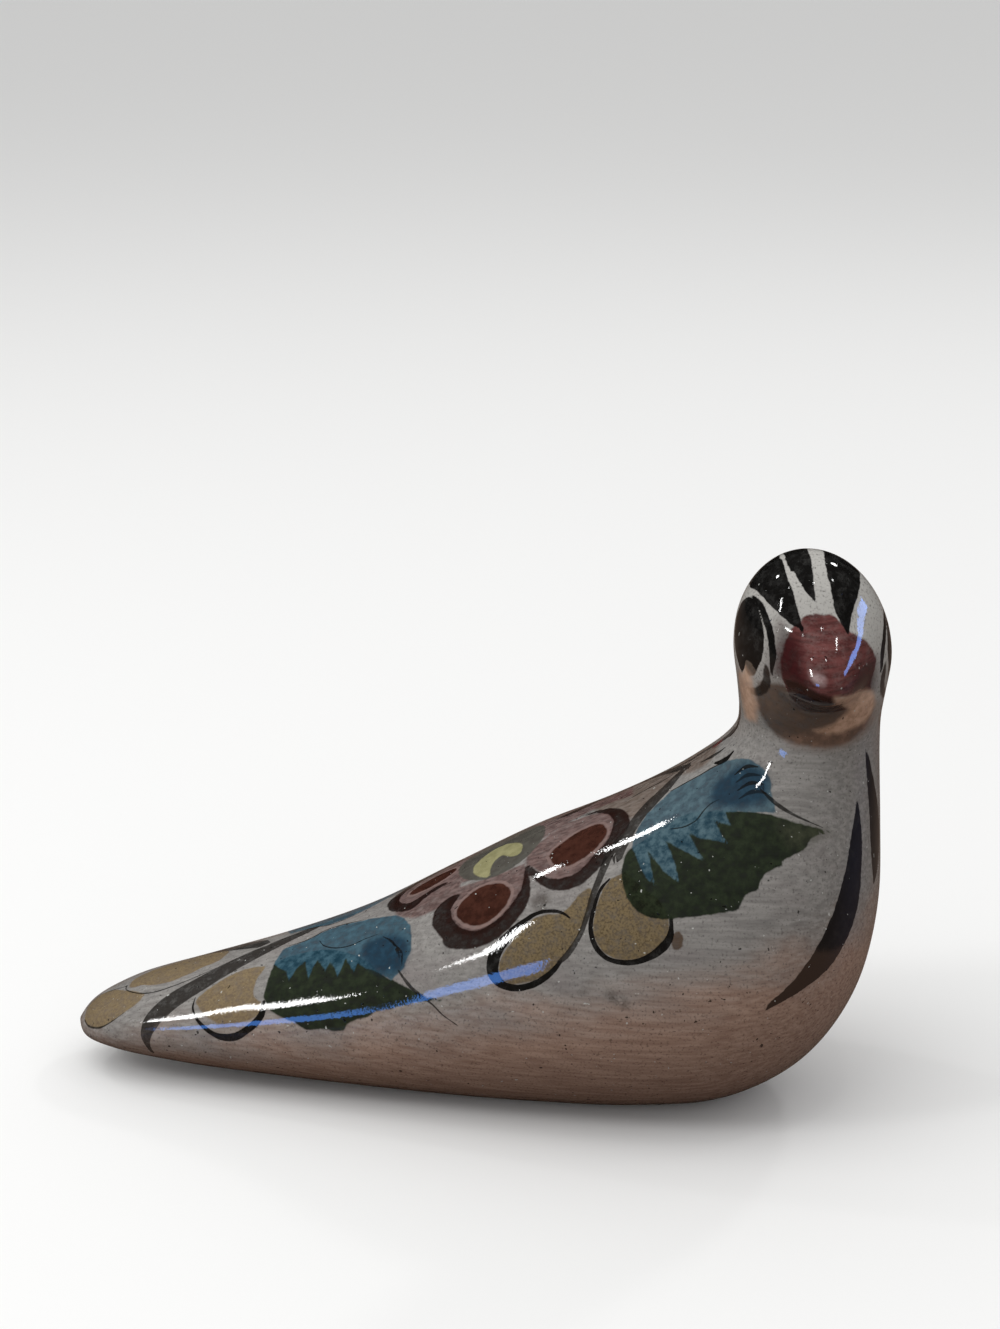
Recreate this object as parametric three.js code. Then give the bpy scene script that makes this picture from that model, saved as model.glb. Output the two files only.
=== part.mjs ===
// A folk-pottery bird figurine, about 193 mm long: a smooth teardrop body that
// sits on its belly, a long blunt tail, a thick neck and a domed head turned to
// the bird's right, with a short fat beak. It is fired as one hollow piece and
// shows no opening, so it is modelled as one closed solid.
//
// Millimetres, +Z up. +X points from the tail to the breast, -Y is the bird's
// right, where it looks. The origin is on the surface it sits on, in the middle.

import * as THREE from 'three';
import { LoftGeometry } from 'three/addons/geometries/LoftGeometry.js';

const { degToRad, smoothstep } = THREE.MathUtils;

// The head is a dome a little taller than it is wide, cocked a few degrees back.
// It leans out over the chin, to the bird's right, by HEAD_LEAN.
const HEAD_X = 174.7;
const HEAD_LEAN = 5;
const HEAD_Z = 113.4;
const HEAD_RADIUS = 17.8;
const HEAD_RISE = 22.5;
const HEAD_COCK = 2.5;

// The beak is a rounded cone drawn out of the face, HEAD_TURN degrees round from
// the breast and drooping a little. Its lengths are from the middle of the head:
// raise is its root above it, tip its point. The sides fall away from a rounded
// ridge at slope, faster under the beak, and run into the face over fillet.
const HEAD_TURN = 85;
const BEAK = {
  raise: 1.6,
  droop: 8,
  tip: 28.2,
  slope: 3.6,
  rounding: 13,
  broad: 1.05,
  undercut: 1.12,
  fillet: 3,
};

// Hoops from the tail's tip to the crown. back and belly are a hoop's ends in the
// middle plane, as [along, up]; wide is its width, and lean moves it to the right.
const dome = (degrees) => {
  const radius = HEAD_RADIUS * Math.cos(degToRad(degrees));
  const rise = HEAD_RISE * Math.sin(degToRad(degrees));
  const cock = degToRad(HEAD_COCK);
  const end = (across) => [
    HEAD_X + across * Math.cos(cock) - rise * Math.sin(cock),
    HEAD_Z + rise * Math.cos(cock) - across * Math.sin(cock),
  ];
  return { back: end(-radius), belly: end(radius), wide: 2 * radius, lean: HEAD_LEAN };
};
const HOOPS = [
  { back: [0, 11.6], belly: [0, 10.8], wide: 1.8 },
  { back: [0.7, 13.2], belly: [0.6, 9.4], wide: 8.5 },
  { back: [2.4, 15.4], belly: [2.2, 8], wide: 15 },
  { back: [6, 17.6], belly: [5.4, 7.2], wide: 21.6 },
  { back: [14.5, 21.8], belly: [13.5, 5.5], wide: 29.6 },
  { back: [32, 27.5], belly: [31, 3.1], wide: 37.4 },
  { back: [52, 34.1], belly: [51, 1.5], wide: 45 },
  { back: [72, 42.1], belly: [72, 0.2], wide: 53.6 },
  { back: [92, 53.1], belly: [94, -1], wide: 62.4 },
  { back: [112, 64], belly: [116, -1.6], wide: 70 },
  { back: [130, 72.1], belly: [138, -1.4], wide: 74.4 },
  { back: [143, 79.2], belly: [159, 1.4], wide: 75 },
  { back: [151, 84.8], belly: [176.8, 11.8], wide: 71.4 },
  { back: [155.2, 88.3], belly: [188.2, 29], wide: 64.6 },
  { back: [157.2, 90.7], belly: [192.7, 50], wide: 55.4 },
  { back: [158.2, 92.6], belly: [192.2, 71], wide: 45.4, lean: 0.3 },
  { back: [158.7, 94.6], belly: [191.4, 84], wide: 38, lean: 0.8 },
  { back: [158.8, 97], belly: [191, 92.4], wide: 34.2, lean: 1.4 },
  { back: [158.6, 100.4], belly: [190.9, 98], wide: 33.8, lean: 3.4 },
  { back: [158, 105.8], belly: [191.5, 104], wide: 35, lean: 4.9 },
  ...[0, 22, 43, 62, 78, 88].map(dome),
];

// Sections stand BODY_STEP apart along the body and closer on the head.
const HEAD_HOOP = HOOPS.findIndex(({ lean = 0 }) => lean > 1);
const BODY_STEP = 3.4;
const HEAD_STEP = 2.4;
const POINTS_PER_SECTION = 56;

// The underside is rubbed flat before firing, up to BASE_CUT on the hoops' own
// scale; the belly's curve runs into the flat within BASE_ROUND of it.
const BASE_CUT = 1;
const BASE_ROUND = 0.8;

const spline = (pick) => new THREE.CatmullRomCurve3(HOOPS.map(pick), false, 'centripetal');
const backLine = spline(({ back: [x, z] }) => new THREE.Vector3(x, 0, z));
const bellyLine = spline(({ belly: [x, z] }) => new THREE.Vector3(x, 0, z));
const numbers = (pick) => new THREE.SplineCurve(
  HOOPS.map((hoop, index) => new THREE.Vector2(index, pick(hoop))));
const widthLine = numbers(({ wide }) => wide);
const leanLine = numbers(({ lean = 0 }) => lean);

function section(t) {
  const back = backLine.getPoint(t);
  const belly = bellyLine.getPoint(t);
  const middle = back.clone().lerp(belly, 0.5);
  const up = back.clone().sub(middle);
  const points = [];
  for (let i = 0; i < POINTS_PER_SECTION; i++) {
    const angle = -2 * Math.PI * i / POINTS_PER_SECTION;
    const point = middle.clone().addScaledVector(up, Math.cos(angle));
    point.y = widthLine.getPoint(t).y / 2 * Math.sin(angle) - leanLine.getPoint(t).y;
    points.push(point);
  }
  return points;
}

// The larger of two numbers, with the change between them rounded over `width`.
function softMax(a, b, width) {
  const near = Math.max(width - Math.abs(a - b), 0) / width;
  return Math.max(a, b) + near ** 2 * width / 4;
}

const beakRoot = new THREE.Vector3(HEAD_X, -HEAD_LEAN, HEAD_Z + BEAK.raise);
const beakFrame = new THREE.Matrix4()
  .makeRotationZ(degToRad(-HEAD_TURN))
  .multiply(new THREE.Matrix4().makeRotationY(degToRad(BEAK.droop)))
  .setPosition(beakRoot);
const toBeak = beakFrame.clone().invert();

function drawBeak(point) {
  const local = point.clone().applyMatrix4(toBeak);
  const away = Math.hypot(local.y / BEAK.broad, local.z * (local.z < 0 ? BEAK.undercut : 1));
  const cone = BEAK.tip - BEAK.slope * (Math.hypot(away, BEAK.rounding) - BEAK.rounding);
  const drawn = softMax(local.x, cone, BEAK.fillet) - local.x;
  local.x += drawn * smoothstep(local.x, 0, HEAD_RADIUS / 2);
  point.copy(local.applyMatrix4(beakFrame));
}

// Walks up the hoops and takes a section each time the back and belly lines have
// gone one step on average.
function places() {
  const found = [0];
  const fine = 4000;
  let gone = 0;
  for (let i = 1; i <= fine; i++) {
    const [from, to] = [(i - 1) / fine, i / fine];
    const walked = (line) => line.getPoint(to).distanceTo(line.getPoint(from));
    const step = to * (HOOPS.length - 1) < HEAD_HOOP ? BODY_STEP : HEAD_STEP;
    gone += (walked(backLine) + walked(bellyLine)) / 2 / step;
    if (gone >= found.length) found.push(to);
  }
  if (gone % 1 > 0.5) found.push(1);
  else found[found.length - 1] = 1;
  return found;
}

const sections = places().map(section);
const points = sections.flat();
for (const point of points) {
  drawBeak(point);
  point.z = softMax(point.z, BASE_CUT, BASE_ROUND);
}
const geometry = new LoftGeometry(sections, { capStart: true, capEnd: true });

// The figurine is moved so that the middle of its outline is over the origin.
const outline = new THREE.Box3().setFromPoints(points);
const middle = outline.getCenter(new THREE.Vector3());
geometry.translate(-middle.x, -middle.y, -outline.min.z);

const glaze = new THREE.MeshStandardMaterial({ color: 0x77706a, roughness: 0.15, metalness: 0 });
const bird = new THREE.Mesh(geometry, glaze);
bird.name = 'bird';

const part = new THREE.Group();
part.add(bird);
export default part;
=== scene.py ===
import math

import bpy
import numpy as np
from mathutils import Matrix, Vector


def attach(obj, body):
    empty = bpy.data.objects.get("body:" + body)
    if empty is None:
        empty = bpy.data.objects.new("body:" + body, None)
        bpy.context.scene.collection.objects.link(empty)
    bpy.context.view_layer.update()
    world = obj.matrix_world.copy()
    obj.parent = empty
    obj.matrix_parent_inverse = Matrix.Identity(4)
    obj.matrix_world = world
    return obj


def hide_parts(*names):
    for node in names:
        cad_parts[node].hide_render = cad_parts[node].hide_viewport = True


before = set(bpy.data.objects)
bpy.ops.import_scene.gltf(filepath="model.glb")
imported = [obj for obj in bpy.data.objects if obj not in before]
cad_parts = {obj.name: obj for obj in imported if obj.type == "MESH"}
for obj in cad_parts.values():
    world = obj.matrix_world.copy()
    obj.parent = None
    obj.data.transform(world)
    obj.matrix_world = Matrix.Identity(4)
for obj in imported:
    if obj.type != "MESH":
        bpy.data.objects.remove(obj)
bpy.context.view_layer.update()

# A glazed folk-pottery bird. Its one piece is the solid's own form, rounded, and
# this file paints it as a potter would: a slip-brushed ground, then washes, strokes
# and outlines, all under one clear glaze. Painted shapes are in mm, each on a small
# flat patch laid on the bird where that motif is centred.

MM = 0.001
SAME_PLACE = 0.001 * MM
WIDEST_FOLD = 1.2


# The bird's own form

def deselect_all():
    for thing in bpy.context.selected_objects:
        thing.select_set(False)


def make_bird():
    """A copy of the solid, merged into quads and rounded by subdivision."""
    deselect_all()
    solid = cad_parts["bird"]
    bird = bpy.data.objects.new("glazed_bird", solid.data.copy())
    bpy.context.scene.collection.objects.link(bird)
    bird.data.materials.clear()
    bird.select_set(True)
    bpy.context.view_layer.objects.active = bird
    bpy.ops.object.mode_set(mode="EDIT")
    bpy.ops.mesh.select_all(action="SELECT")
    bpy.ops.mesh.remove_doubles(threshold=SAME_PLACE)
    bpy.ops.mesh.tris_convert_to_quads(
        face_threshold=WIDEST_FOLD, shape_threshold=WIDEST_FOLD)
    bpy.ops.object.mode_set(mode="OBJECT")
    rounding = bird.modifiers.new("rounding", "SUBSURF")
    rounding.levels = rounding.render_levels = 2
    bpy.ops.object.modifier_apply(modifier=rounding.name)
    bpy.ops.object.shade_smooth()
    return bird


def vectors_of(collection, name):
    """One vector of each thing in a mesh's collection, as rows."""
    flat = np.empty(len(collection) * 3, np.float32)
    collection.foreach_get(name, flat)
    return flat.reshape(-1, 3).astype(float)


bird = make_bird()
count = len(bird.data.vertices)
skin = vectors_of(bird.data.vertices, "co") / MM
facing = vectors_of(bird.data.vertex_normals, "vector")


# Patches: flat working areas on the curved skin

# Where the beak and face turn about: the head's middle, and the way the beak points.
HEAD = np.array([78.2, -5.0, 115.0])
BEAK_TURN = math.radians(-85)
BEAK_DROOP = math.radians(8)
ACROSS_FACE = np.array([-math.sin(BEAK_TURN), math.cos(BEAK_TURN), 0.0])

# The mirror that lays a motif on another side: a point on it, and its normal.
SIDES = {
    "right": None,
    "left": ((0, 0, 0), (0, 1, 0)),
    "far cheek": (HEAD, ACROSS_FACE),
    "nape": (HEAD, (math.cos(BEAK_TURN), math.sin(BEAK_TURN), 0)),
}


def mirrored(vectors, mirror, place=True):
    """The vectors as seen in a mirror, which is a point on it and its normal."""
    if mirror is None:
        return vectors
    through, normal = (np.array(part, float) for part in mirror)
    normal = normal / np.linalg.norm(normal)
    offset = (vectors - through if place else vectors) @ normal
    return vectors - 2 * np.outer(offset, normal)


# A vertex that a patch doesn't reach, or that faces away from it, is put far off it.
OFF_PATCH = 999
PATCH_REACH = 75
LEAST_FACING = 0.05


def patch(spot, along, side="right", shift=(0, 0)):
    """Lays a flat patch on the skin near spot, its first axis as near as it can be to
    along. Gives each vertex's place on it, with distances kept from the middle."""
    points = mirrored(skin, SIDES[side])
    normals = mirrored(facing, SIDES[side], place=False)
    nearest = np.argmin(((points - np.array(spot)) ** 2).sum(1))
    up = normals[nearest]
    first = np.array(along, float) - up * (np.array(along) @ up)
    first = first / np.linalg.norm(first)
    second = np.cross(up, first)
    away = points - np.array(spot)
    flat = np.stack([away @ first, away @ second], 1)
    distance = np.linalg.norm(away, axis=1)
    flat *= (distance / (np.linalg.norm(flat, axis=1) + 1e-9))[:, None]
    flat -= np.array(shift)
    flat[(normals @ up < LEAST_FACING) | (distance > PATCH_REACH)] = OFF_PATCH
    return flat


# Drawing: outlines and brush lines, as distances in mm from their edges

# Shapes are known this far from their edges, lines this far from their middles.
FAR = 6.0
FAR_FROM_LINE = 4.0
SHARP = math.cos(math.radians(58))
STEPS = 7


def smooth_line(points, closed=False):
    """A curve through the points that keeps its sharp corners sharp."""
    points = [np.array(point, float) for point in points]
    number = len(points)
    spans = number if closed else number - 1

    def corner(i):
        before, here, after = (points[(i + k) % number] for k in (-1, 0, 1))
        one, two = here - before, after - here
        return one @ two < SHARP * np.linalg.norm(one) * np.linalg.norm(two)

    line = []
    for i in range(spans):
        start, end = points[i], points[(i + 1) % number]
        before, after = points[i - 1], points[(i + 2) % number]
        if corner(i) or (not closed and i == 0):
            before = 2 * start - end
        if corner((i + 1) % number) or (not closed and i == spans - 1):
            after = 2 * end - start
        for t in np.arange(STEPS) / STEPS:
            line.append(0.5 * (
                2 * start + (end - before) * t
                + (2 * before - 5 * start + 4 * end - after) * t ** 2
                + (3 * start - before - 3 * end + after) * t ** 3
            ))
    if not closed:
        line.append(points[-1])
    return np.array(line)


def nearby(flat, line, reach):
    """The vertices in a box round the line, with that much room."""
    low, high = line.min(0) - reach, line.max(0) + reach
    return np.nonzero(((flat > low) & (flat < high)).all(1))[0]


def to_segments(at, starts, ends):
    """For each place: its distance to each segment, how far along it, and its side."""
    run = ends - starts
    long = np.maximum((run ** 2).sum(1), 1e-12)
    away = at[:, None, :] - starts[None]
    share = (away * run).sum(2) / long
    held = share.clip(0, 1)
    gap = np.linalg.norm(away - held[..., None] * run, axis=2)
    cross = run[:, 0] * away[..., 1] - run[:, 1] * away[..., 0]
    return gap, share, cross / np.sqrt(long)


paints = {}


def lay(paint, where, depth):
    """Adds a shape to a paint: depth is mm inside its edge, negative outside."""
    field = paints.setdefault(paint, np.full(count, -FAR))
    field[where] = np.maximum(field[where], depth.clip(-FAR, FAR))


def fill(paint, flat, outline, smooth=True):
    """A closed shape filled with a paint."""
    line = smooth_line(outline, closed=True) if smooth else np.array(outline, float)
    where = nearby(flat, line, FAR)
    if not len(where):
        return
    at = flat[where]
    starts, ends = line, np.roll(line, -1, 0)
    gap, _, _ = to_segments(at, starts, ends)
    above = starts[:, 1] > at[:, 1:2]
    crossing = above != (ends[:, 1] > at[:, 1:2])
    rise = ends[:, 1] - starts[:, 1]
    rise = np.where(np.abs(rise) < 1e-9, 1e-9, rise)
    meet = starts[:, 0] + (at[:, 1:2] - starts[:, 1]) * (ends[:, 0] - starts[:, 0]) / rise
    inside = (crossing & (at[:, :1] < meet)).sum(1) % 2 == 1
    lay(paint, where, np.where(inside, 1, -1) * gap.min(1))


OVAL_POINTS = 16


def oval(middle, long, wide, turn=0, egg=0.0):
    """An oval outline; egg above 0 makes its far end fatter."""
    cos, sin = math.cos(math.radians(turn)), math.sin(math.radians(turn))
    outline = []
    for i in range(OVAL_POINTS):
        angle = 2 * math.pi * i / OVAL_POINTS
        u = long / 2 * math.cos(angle)
        v = wide / 2 * math.sin(angle) * (1 + egg * math.cos(angle))
        outline.append((middle[0] + u * cos - v * sin, middle[1] + u * sin + v * cos))
    return outline


# A vertex keeps only the nearest line of a kit, so thin lines that run close side by
# side are shared out over two kits, fine and hatch.
lines = {}
NO_LINE = (9.0, 0.0, 9.0)


def draw(kit, flat, points, widths):
    """A brush line with widths spread along it. Keeps each vertex's side of the line,
    the line's half width there, and how near the line is."""
    line = smooth_line(points)
    at_points = np.linspace(0, 1, len(widths))
    half = np.interp(np.linspace(0, 1, len(line)), at_points, widths) / 2
    field = lines.setdefault(kit, np.tile(NO_LINE, (count, 1)))
    where = nearby(flat, line, FAR_FROM_LINE)
    if not len(where):
        return
    gap, share, side = to_segments(flat[where], line[:-1], line[1:])
    best = gap.argmin(1)
    row = np.arange(len(where))
    gap, share, side = gap[row, best], share[row, best], side[row, best]
    held = share.clip(0, 1)
    wide = half[:-1][best] * (1 - held) + half[1:][best] * held
    past = np.sqrt(np.maximum(gap ** 2 - side ** 2, 0))
    near = gap - wide
    closer = near < field[where, 2]
    rows = where[closer]
    field[rows] = np.stack([side, wide - past, near], 1)[closer]


# The motifs, in mm on their patches

SHOULDER = {"spot": (57.6, -26.4, 71.2), "along": (1, 0, 0)}
FLANK = {"spot": (32.5, -31.2, 52.9), "along": (1, 0, 0)}
RUMP = {"spot": (-28.7, -18.5, 33.2), "along": (1, 0, 0)}
BACK = {"spot": (7.6, 0, 59.2), "along": (1, 0, 0)}
TAIL = {"spot": (-80, 0, 21.4), "along": (1, 0, 0)}
BREAST = {"spot": (88.1, -23.1, 58.8), "along": (0, 0, 1)}
CROWN = {"spot": (77.7, -18.3, 127.3), "along": (1, 0, 0)}
CHEEK = {"spot": (64.4, -15.6, 118.1), "along": (1, 0, 0)}


def front_leaf(flat):
    """The leaf on the shoulder: green with a scalloped lower edge, under a blue half
    whose feather points run down into the green."""
    fill("green", flat, [
        (25.5, 5.2), (21.3, 3.2), (20.2, 1), (17.7, -0.8), (15, -2.4), (14.9, -3.6),
        (13, -4.3), (10.8, -5.8), (9.9, -7.6), (9.6, -8.9), (7.2, -9.9), (5.9, -11.1),
        (5, -13.2), (2.4, -13.9), (-4.6, -14.7), (-10.9, -15.2), (-15, -14.7),
        (-17.7, -13.2), (-20, -10.4), (-21.4, -6.5), (-21.9, -3), (-21.5, 0), (-20, 2),
        (-9, 9), (0.8, 9.3), (5.6, 8.7), (9.7, 8.2), (12.8, 7.5), (16.2, 6.5),
        (20.5, 5.7),
    ])
    fill("dry green", flat, [(14, 5.6), (17, 0.6), (20.4, 2), (25, 5.1), (20, 5.4)])
    fill("blue", flat, [
        (-20.2, 1.6), (-20, 6), (-18.5, 11), (-15.8, 15), (-13.8, 17.5), (-9.7, 19.3),
        (-6, 20.6), (-2.9, 21.8), (1.4, 22.5), (4.8, 22), (7, 21.2), (9.1, 19.7),
        (11.1, 18), (12.4, 16), (12.7, 14), (12.6, 12.4), (13.3, 10), (13.7, 8),
        (9.7, 8.2), (5.6, 8.7), (2, 8.8), (2.8, 7), (3.5, 5.5), (1, 6.2), (-1, 7.7),
        (0.5, 5.3), (1.5, 3.3), (3, 1.3), (-0.8, 2.3), (-4.1, 3.1), (-6.5, 4.6),
        (-5, 1.9), (-3.7, -0.5), (-2.2, -2.6), (-6.8, -0.1), (-9.8, 1.6),
        (-12.4, 3.6), (-10.6, 0.5), (-9.5, -2), (-8.7, -4.9), (-8.1, -7.3),
        (-11.8, -4.3), (-14.3, -1.2), (-16.6, 1.6), (-15.3, -1.1), (-14.5, -5),
        (-13.3, -8.1), (-15.9, -5.7), (-17.8, -2.4), (-19.4, 1.2),
    ], smooth=False)
    fill("navy", flat, [
        (-1, 17), (4.4, 20), (8.1, 19.6), (11.4, 17.2), (12.2, 14), (11.6, 10.5),
        (6, 9.6), (0, 10.5), (-2, 13),
    ])
    for i in range(4):
        high = 20.2 - 2.1 * i
        draw("hatch" if i % 2 else "fine", flat, [
            (3.6 + 0.5 * i, high - 2.2),
            (6.4 + 0.6 * i, high - 0.8),
            (9.6 + 0.7 * i, high - 1.4),
        ], (0.3, 1.1, 0.3))
    draw("fine", flat, [
        (-11.5, 6), (-7.8, 6.2), (-4.9, 7.6), (-3.6, 9.5), (-1.8, 11.3), (0.2, 12.2),
    ], (0.2, 0.4, 0.4, 0.4, 0.3, 0.2))
    draw("fine", flat, [
        (-14, 17.5), (-9.7, 19.4), (-6, 20.7), (-2.9, 21.9), (0.4, 22.5),
    ], (0.3, 0.5, 0.4, 0.5, 0.2))
    draw("fine", flat, [
        (10, 13.7), (12.4, 11.3), (14.6, 9.4), (18, 7.5), (21.3, 6.4), (23.8, 5.8),
    ], (0.3, 0.9, 0.9, 0.6, 0.3, 0.15))


def shoulder_stroke(flat):
    """The long charcoal stroke that frames the leaf, from the nape to the flank."""
    draw("bold", flat, [
        (-11.4, 27.3), (-13.7, 23.3), (-15.9, 18.7), (-18.8, 13.9), (-20.9, 9.3),
        (-22.2, 3.9), (-23.1, -0.7),
    ], (1.4, 2.7, 3.4, 3.6, 3.2, 2.4, 1.6))


def flank_fruit(flat):
    """Two tan fruit with loose black outlines, the charcoal stroke between them, and
    a few sooty smudges."""
    fill("tan", flat, [
        (1.8, 12), (5, 13.5), (9, 10), (14, 6), (15.7, 2), (15.6, -0.9), (14, -3.1),
        (11.4, -5.2), (8, -6.4), (5, -6.6), (2.3, -5.9), (0.1, -4.1), (-1.3, -1.7),
        (-1.7, 1.1), (-1.4, 4.2), (-0.7, 7.3), (0.2, 9.8),
    ])
    draw("outline", flat, [
        (1.3, 11.9), (-0.4, 9.8), (-1.3, 7.3), (-1.9, 4.2), (-2.3, 1.1), (-1.8, -1.9),
        (-0.3, -4.6), (2, -6.4), (5, -7.1), (8.4, -6.9), (11.8, -5.5), (14.4, -3.5),
        (15.9, -1.3), (16.2, 0.9), (16.1, 3.2),
    ], (0.5, 0.8, 0.9, 1, 1.1, 1.2, 1.2, 1.1, 1.2, 1.3, 1.6, 2.1, 1.7, 1, 0.8))
    fill("umber", flat, oval((17.5, -2.2), 2.6, 4.2, turn=-10))
    fill("tan", flat, [
        (-23.8, -9.3), (-23, -5.7), (-20.5, -2.3), (-18, 1.1), (-14.9, 3.1),
        (-12.5, 3.6), (-9.6, 3.8), (-7.5, 5.5), (-5.8, 8.1), (-3.4, 10), (-2.4, 8.5),
        (-2.9, 5.3), (-3.7, 2.6), (-4.7, -0.4), (-6.3, -3.4), (-8.6, -6.4),
        (-11.9, -9.6), (-15.9, -11.6), (-20.2, -12.2), (-22.9, -11.3),
    ])
    draw("outline", flat, [
        (-7.2, 2.7), (-9.4, 4), (-12.6, 4.4), (-15.8, 3.7), (-18.1, 2.1), (-20.4, 0.2),
        (-22.6, -2.3), (-24.3, -4.4), (-25.2, -6.9), (-25.2, -9.5), (-24, -11.5),
        (-21.8, -12.8), (-18.7, -13), (-15.5, -12.2), (-12.7, -10.7), (-10.5, -8.8),
        (-9, -7),
    ], (0.4, 0.7, 0.9, 1, 1.4, 2, 2.6, 3, 3.1, 2.9, 2.3, 1.6, 1.5, 1.5, 1.4, 1.2, 0.9))
    draw("bold", flat, [
        (4, 24), (0.8, 19.4), (-0.3, 15.5), (-1.2, 12.1), (-2.2, 8.5), (-2.8, 5.3),
        (-3.4, 2.8), (-4.3, -0.2), (-5.7, -3), (-7.6, -5.6), (-9.6, -7.4),
    ], (1.6, 2.4, 2, 1.7, 1.5, 1.4, 1.3, 1.2, 1.3, 1.4, 1))
    fill("soot", flat, oval((3.5, -15.5), 6, 2.4, turn=-30))
    fill("soot", flat, oval((-4.1, -13.9), 1.4, 0.8))
    fill("soot", flat, oval((-14.8, 6.6), 4.2, 5))


def rear_leaf(flat):
    """The smaller leaf on the rump, with a stem that crosses down on to the flank."""
    fill("green", flat, [
        (-18.7, 6.2), (-19, 2.1), (-19.4, -1.4), (-19.5, -3.2), (-17.7, -6.5),
        (-15.5, -8.1), (-12, -9.8), (-10, -11.1), (-8.3, -11.8), (-5.4, -11.9),
        (-2.3, -12.8), (0.1, -13), (1.4, -11.9), (3.4, -11), (6.8, -10.6),
        (9.3, -9.6), (12.6, -9.4), (16.8, -8.9), (21, -8.7), (26.2, -9), (22, -7.5),
        (19.8, -6.5), (17.1, -4.9), (12.9, -2.5), (9.9, -0.5), (6.4, 3), (-4, 8),
        (-14, 8),
    ])
    fill("deep blue", flat, [
        (-18.8, 5.9), (-18.4, 8.9), (-18, 11.3), (-15.7, 12), (-13, 12.8),
        (-10.6, 14.4), (-8.5, 16.2), (-3.9, 17.2), (4.2, 16.9), (8.6, 16),
        (11.9, 15.3), (15.1, 13.1), (17.2, 10.6), (18.4, 6.9), (18.6, 3.5),
        (17.8, 1.4), (16.9, -0.7), (14.8, -2.3), (13.6, -3.2), (10.4, -0.8),
        (6.7, 0.9), (4.3, 2.5), (3.6, 0.2), (2.1, 2.6), (0.8, 4.5), (0.4, 2.4),
        (-0.5, -0.7), (-1.7, 2.2), (-3.1, 4.4), (-3.6, 3.3), (-4.2, 1.1), (-5.3, 3.3),
        (-6.7, 5.6), (-7.5, 3.6), (-8.3, 0.2), (-9.3, 2.8), (-10.1, 5.5),
        (-11.9, 3.7), (-13.5, 0.1), (-14.6, 3.1), (-16.9, 4.5),
    ], smooth=False)
    fill("navy", flat, [
        (4.5, 4.4), (5.7, 8), (10.5, 9.2), (14.8, 8.2), (17.6, 5.4), (17.8, 1.8),
        (16.2, -1), (12.8, -1.6), (8.9, 0.1),
    ])
    for i in range(3):
        draw("hatch" if i % 2 else "fine", flat, [
            (10 + 2 * i, 9 - 1.6 * i),
            (13.2 + 1.4 * i, 6.6 - 1.6 * i),
            (15 + 0.7 * i, 3 - 1.4 * i),
        ], (0.2, 0.6, 0.3))
    draw("fine", flat, [
        (-8.6, 12.1), (-6.2, 9.6), (-2.3, 8.2), (1.7, 8.3), (4.4, 9.3), (8.3, 10.1),
    ], (0.2, 0.4, 0.4, 0.4, 0.3, 0.2))
    draw("fine", flat, [
        (-17.8, 11.8), (-13, 13), (-10.6, 14.6), (-8.5, 16.4), (-3.9, 17.4), (3, 17.2),
    ], (0.2, 0.5, 0.4, 0.5, 0.4, 0.2))
    draw("fine", flat, [
        (15.4, -1), (18, -4.6), (19.8, -6.4), (23.6, -9.4), (25.9, -11.7), (29.3, -14),
    ], (0.4, 0.8, 0.7, 0.45, 0.35, 0.2))


def rump_and_tail(flat, from_ridge):
    """A tan fruit behind the leaf, and the long charcoal sweep down the tail, which
    on one side starts across the ridge and on the other short of it."""
    # A paler tan than the flank's: partly a lighter wash, partly painted light.
    fill("top lit tan", flat, [
        (-37.4, -2.9), (-36.7, -1.5), (-33.9, 1), (-31.1, 3.2), (-27, 5.3),
        (-23.2, 5.8), (-20.9, 5.6), (-21.3, 4), (-22.1, 2), (-22.5, -1.6),
        (-22, -3), (-20.3, -4.5), (-20.3, -6.7), (-22.5, -8.1), (-24.9, -8.7),
        (-29.6, -9), (-32.7, -7.8), (-35.6, -5.4),
    ])
    draw("outline", flat, [
        (-37.7, -1.6), (-37.9, -4.3), (-37, -6.6), (-35.2, -8.8), (-32.7, -10.6),
        (-30.1, -11.4), (-27.3, -11.4), (-24.2, -10.4), (-21.6, -9), (-19.8, -7.1),
        (-19.4, -4.6),
    ], (0.3, 0.5, 0.7, 0.9, 1.1, 1.4, 1.5, 1.5, 1.7, 1.7, 1.2))
    sweep = [
        (-12, 19.8), (-15.5, 17.6), (-20, 14.7), (-25, 11.2), (-31.1, 7),
        (-36.8, 2.9), (-42.7, -1.1), (-46.3, -4.2), (-48.9, -7.2), (-50.4, -9.8),
        (-50.9, -12.4),
    ]
    widths = (1.4, 3, 3.9, 4.5, 4.9, 5.1, 5.1, 4.8, 4.1, 2.6, 0.4)
    start = 0 if from_ridge else 3
    draw("bold", flat, sweep[start:], widths[start:])


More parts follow.
